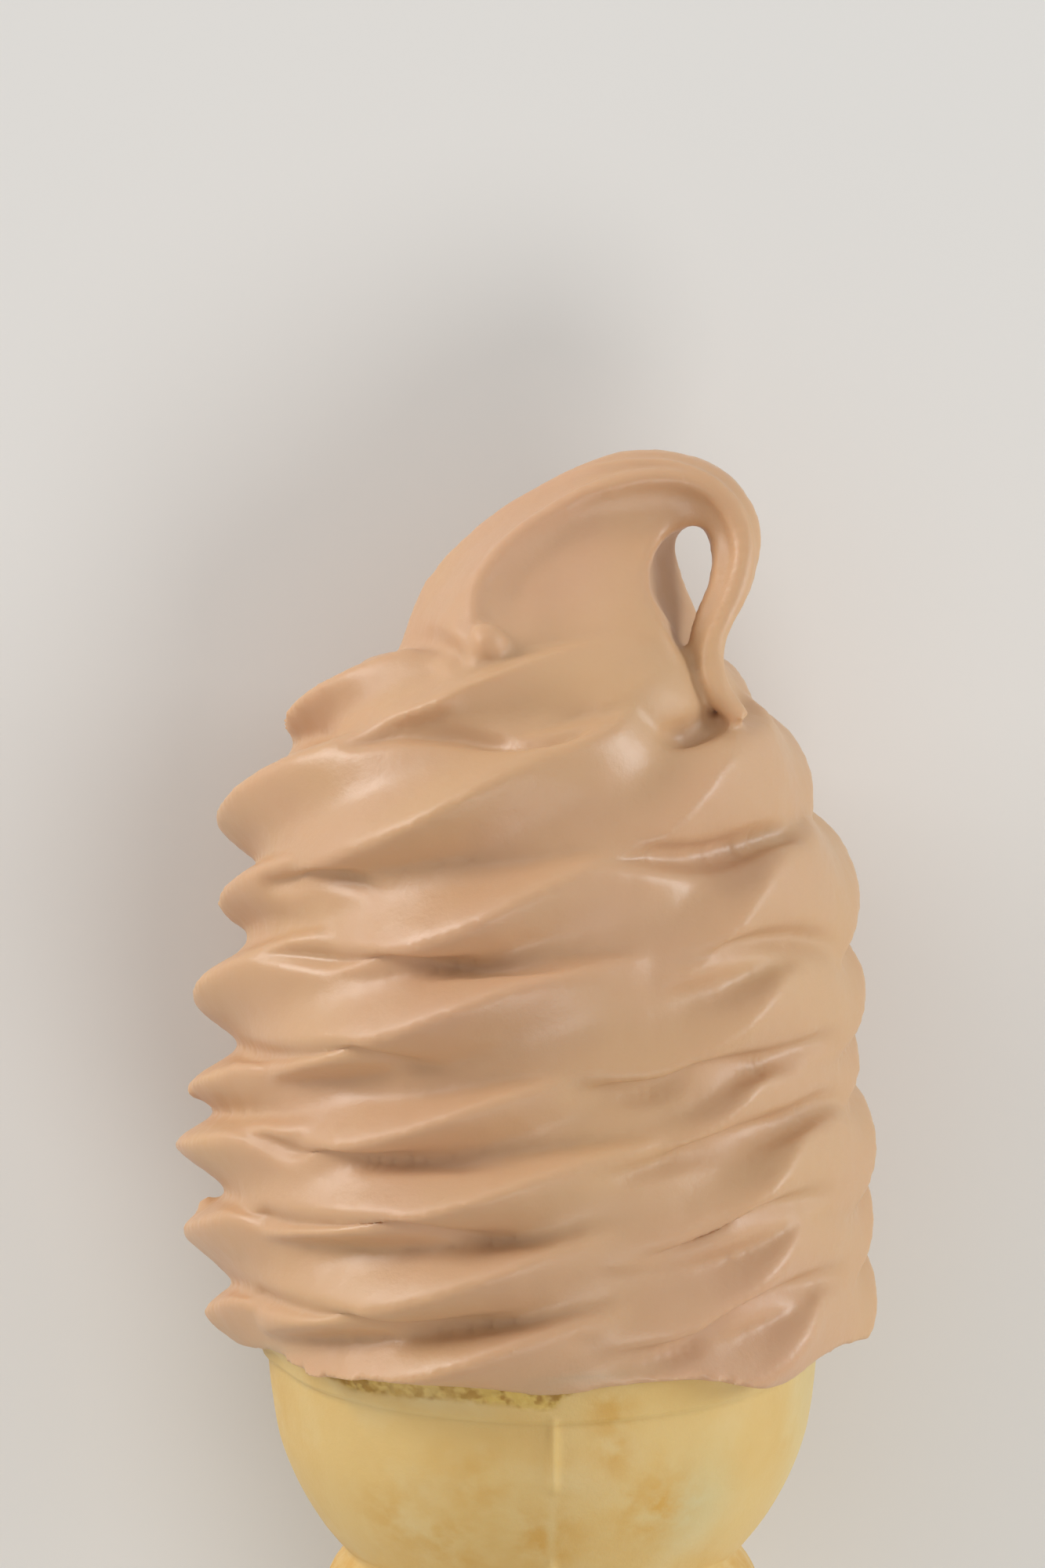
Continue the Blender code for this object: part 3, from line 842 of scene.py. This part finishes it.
def make_swirl():
    bm = bmesh.new()
    add_turned(bm, filling_profile(), FILLING_STEPS)
    fineness = 2
    add_tube(bm, COIL_STATIONS * fineness, COIL_SIDES, coil_point)
    add_tube(bm, PEAK_STATIONS * fineness, PEAK_SIDES, peak_point)
    for place, size in LUMPS:
        add_lump(bm, place, size)
    bmesh.ops.recalc_face_normals(bm, faces=bm.faces)
    swirl = to_object("ice_cream_swirl", bm)
    voxel = VOXEL
    fuse = swirl.modifiers.new("Fuse", "REMESH")
    fuse.mode = "VOXEL"
    fuse.voxel_size = voxel
    soften(swirl, FUSED_PASSES)
    settle(swirl)
    wipe_folds(swirl.data, voxel)
    work_surface(swirl.data)
    soften(swirl, MARKED_PASSES)
    settle(swirl)
    cut_cup_space(swirl)
    swirl.data.transform(LAID)
    for vert in swirl.data.vertices:
        vert.co.z = max(vert.co.z, 0.0)
    thin = swirl.modifiers.new("Thin out", "DECIMATE")
    thin.ratio = MOST_TRIANGLES / sum(len(face.vertices) - 2 for face in swirl.data.polygons)
    settle(swirl)
    swirl.data.shade_smooth()
    return swirl


ICE_COLOUR = (0.582, 0.360, 0.195)
ICE_PINK = (0.578, 0.346, 0.205)


def ice_cream_finish():
    """Caramel-beige ice cream: slightly see-through, unevenly wet, with a fine icy grain."""
    ice = Finish("soft_serve")
    ice.wire("Base Color", ice.blend(ice.ramp(ice.cloud(45.0, 2.0), 0.35, 0.65), ICE_COLOUR, ICE_PINK))
    ice.wire("Roughness", ice.ramp(ice.cloud(70.0, 3.0), 0.4, 0.62, bottom=0.37, top=0.52))
    ice.relief(ice.cloud(1600.0, 3.0, 0.6), strength=0.16, depth=0.0002)
    ice.set_values({
        "IOR": 1.46,
        "Subsurface Weight": 0.3,
        "Subsurface Radius": (1.0, 0.6, 0.35),
        "Subsurface Scale": 0.0025,
    })
    return ice.material


swirl = make_swirl()
swirl.data.materials.clear()
swirl.data.materials.append(ice_cream_finish())
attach(swirl, "root")
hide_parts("swirl")


# Studio: a plain pale floor under the lying cone, soft window light from the upper left, a cooler
# lamp from the right and one from below, and a camera at the photograph's angle, turned down with
# the cone. Lights are given as name, place, size, power and colour.
FLOOR_SIZE = 3.0
SWIRL_MIDDLE = Vector((0, 0.03, 0.04))
LIGHTS = [
    ("window", (-0.5, 0.85, 0.45), 0.6, 0.8, (1.0, 0.96, 0.90)),
    ("left_softbox", (-0.88, 0.62, 0.2), 0.5, 7.1, (0.99, 0.97, 0.96)),
    ("right_lamp", (0.95, 0.3, 0.22), 0.4, 4.3, (0.88, 0.95, 1.0)),
    ("low_lamp", (0.3, -0.4, 0.9), 0.5, 2.6, (1.0, 0.97, 0.93)),
]
EYE_SLOPE = 5.07
LENS = 114.3
SENSOR = 36.0

bm = bmesh.new()
bmesh.ops.create_grid(bm, x_segments=1, y_segments=1, size=FLOOR_SIZE / 2)
floor = to_object("floor", bm)
floor_paint = Finish("pale_floor")
floor_paint.set_values({"Base Color": (0.78, 0.77, 0.75, 1), "Roughness": 0.8})
floor.data.materials.append(floor_paint.material)

for name, place, size, power, colour in LIGHTS:
    light = bpy.data.lights.new(name, "AREA")
    light.shape = "DISK"
    light.size = size
    light.energy = power
    light.color = colour
    lamp = bpy.data.objects.new(name, light)
    bpy.context.scene.collection.objects.link(lamp)
    lamp.location = place
    lamp.rotation_euler = (SWIRL_MIDDLE - Vector(place)).to_track_quat("-Z", "Y").to_euler()

world = bpy.data.worlds.new("studio")
bpy.context.scene.world = world
world.use_nodes = True
world.node_tree.nodes["Background"].inputs["Color"].default_value = (1.0, 0.99, 0.97, 1)
world.node_tree.nodes["Background"].inputs["Strength"].default_value = 0.5

camera_data = bpy.data.cameras.new("camera")
camera_data.sensor_width = SENSOR
camera_data.lens = LENS
camera_data.clip_start = 0.01
camera = bpy.data.objects.new("camera", camera_data)
bpy.context.scene.collection.objects.link(camera)
pitch = math.radians(90 - EYE_SLOPE)
turned_down = Matrix.Rotation(laid_turn, 4, "X") @ Matrix.Rotation(pitch, 4, "X")
camera.matrix_world = Matrix.Translation(LAID @ EYE) @ turned_down
bpy.context.scene.camera = camera
bpy.context.scene.view_settings.view_transform = "Standard"
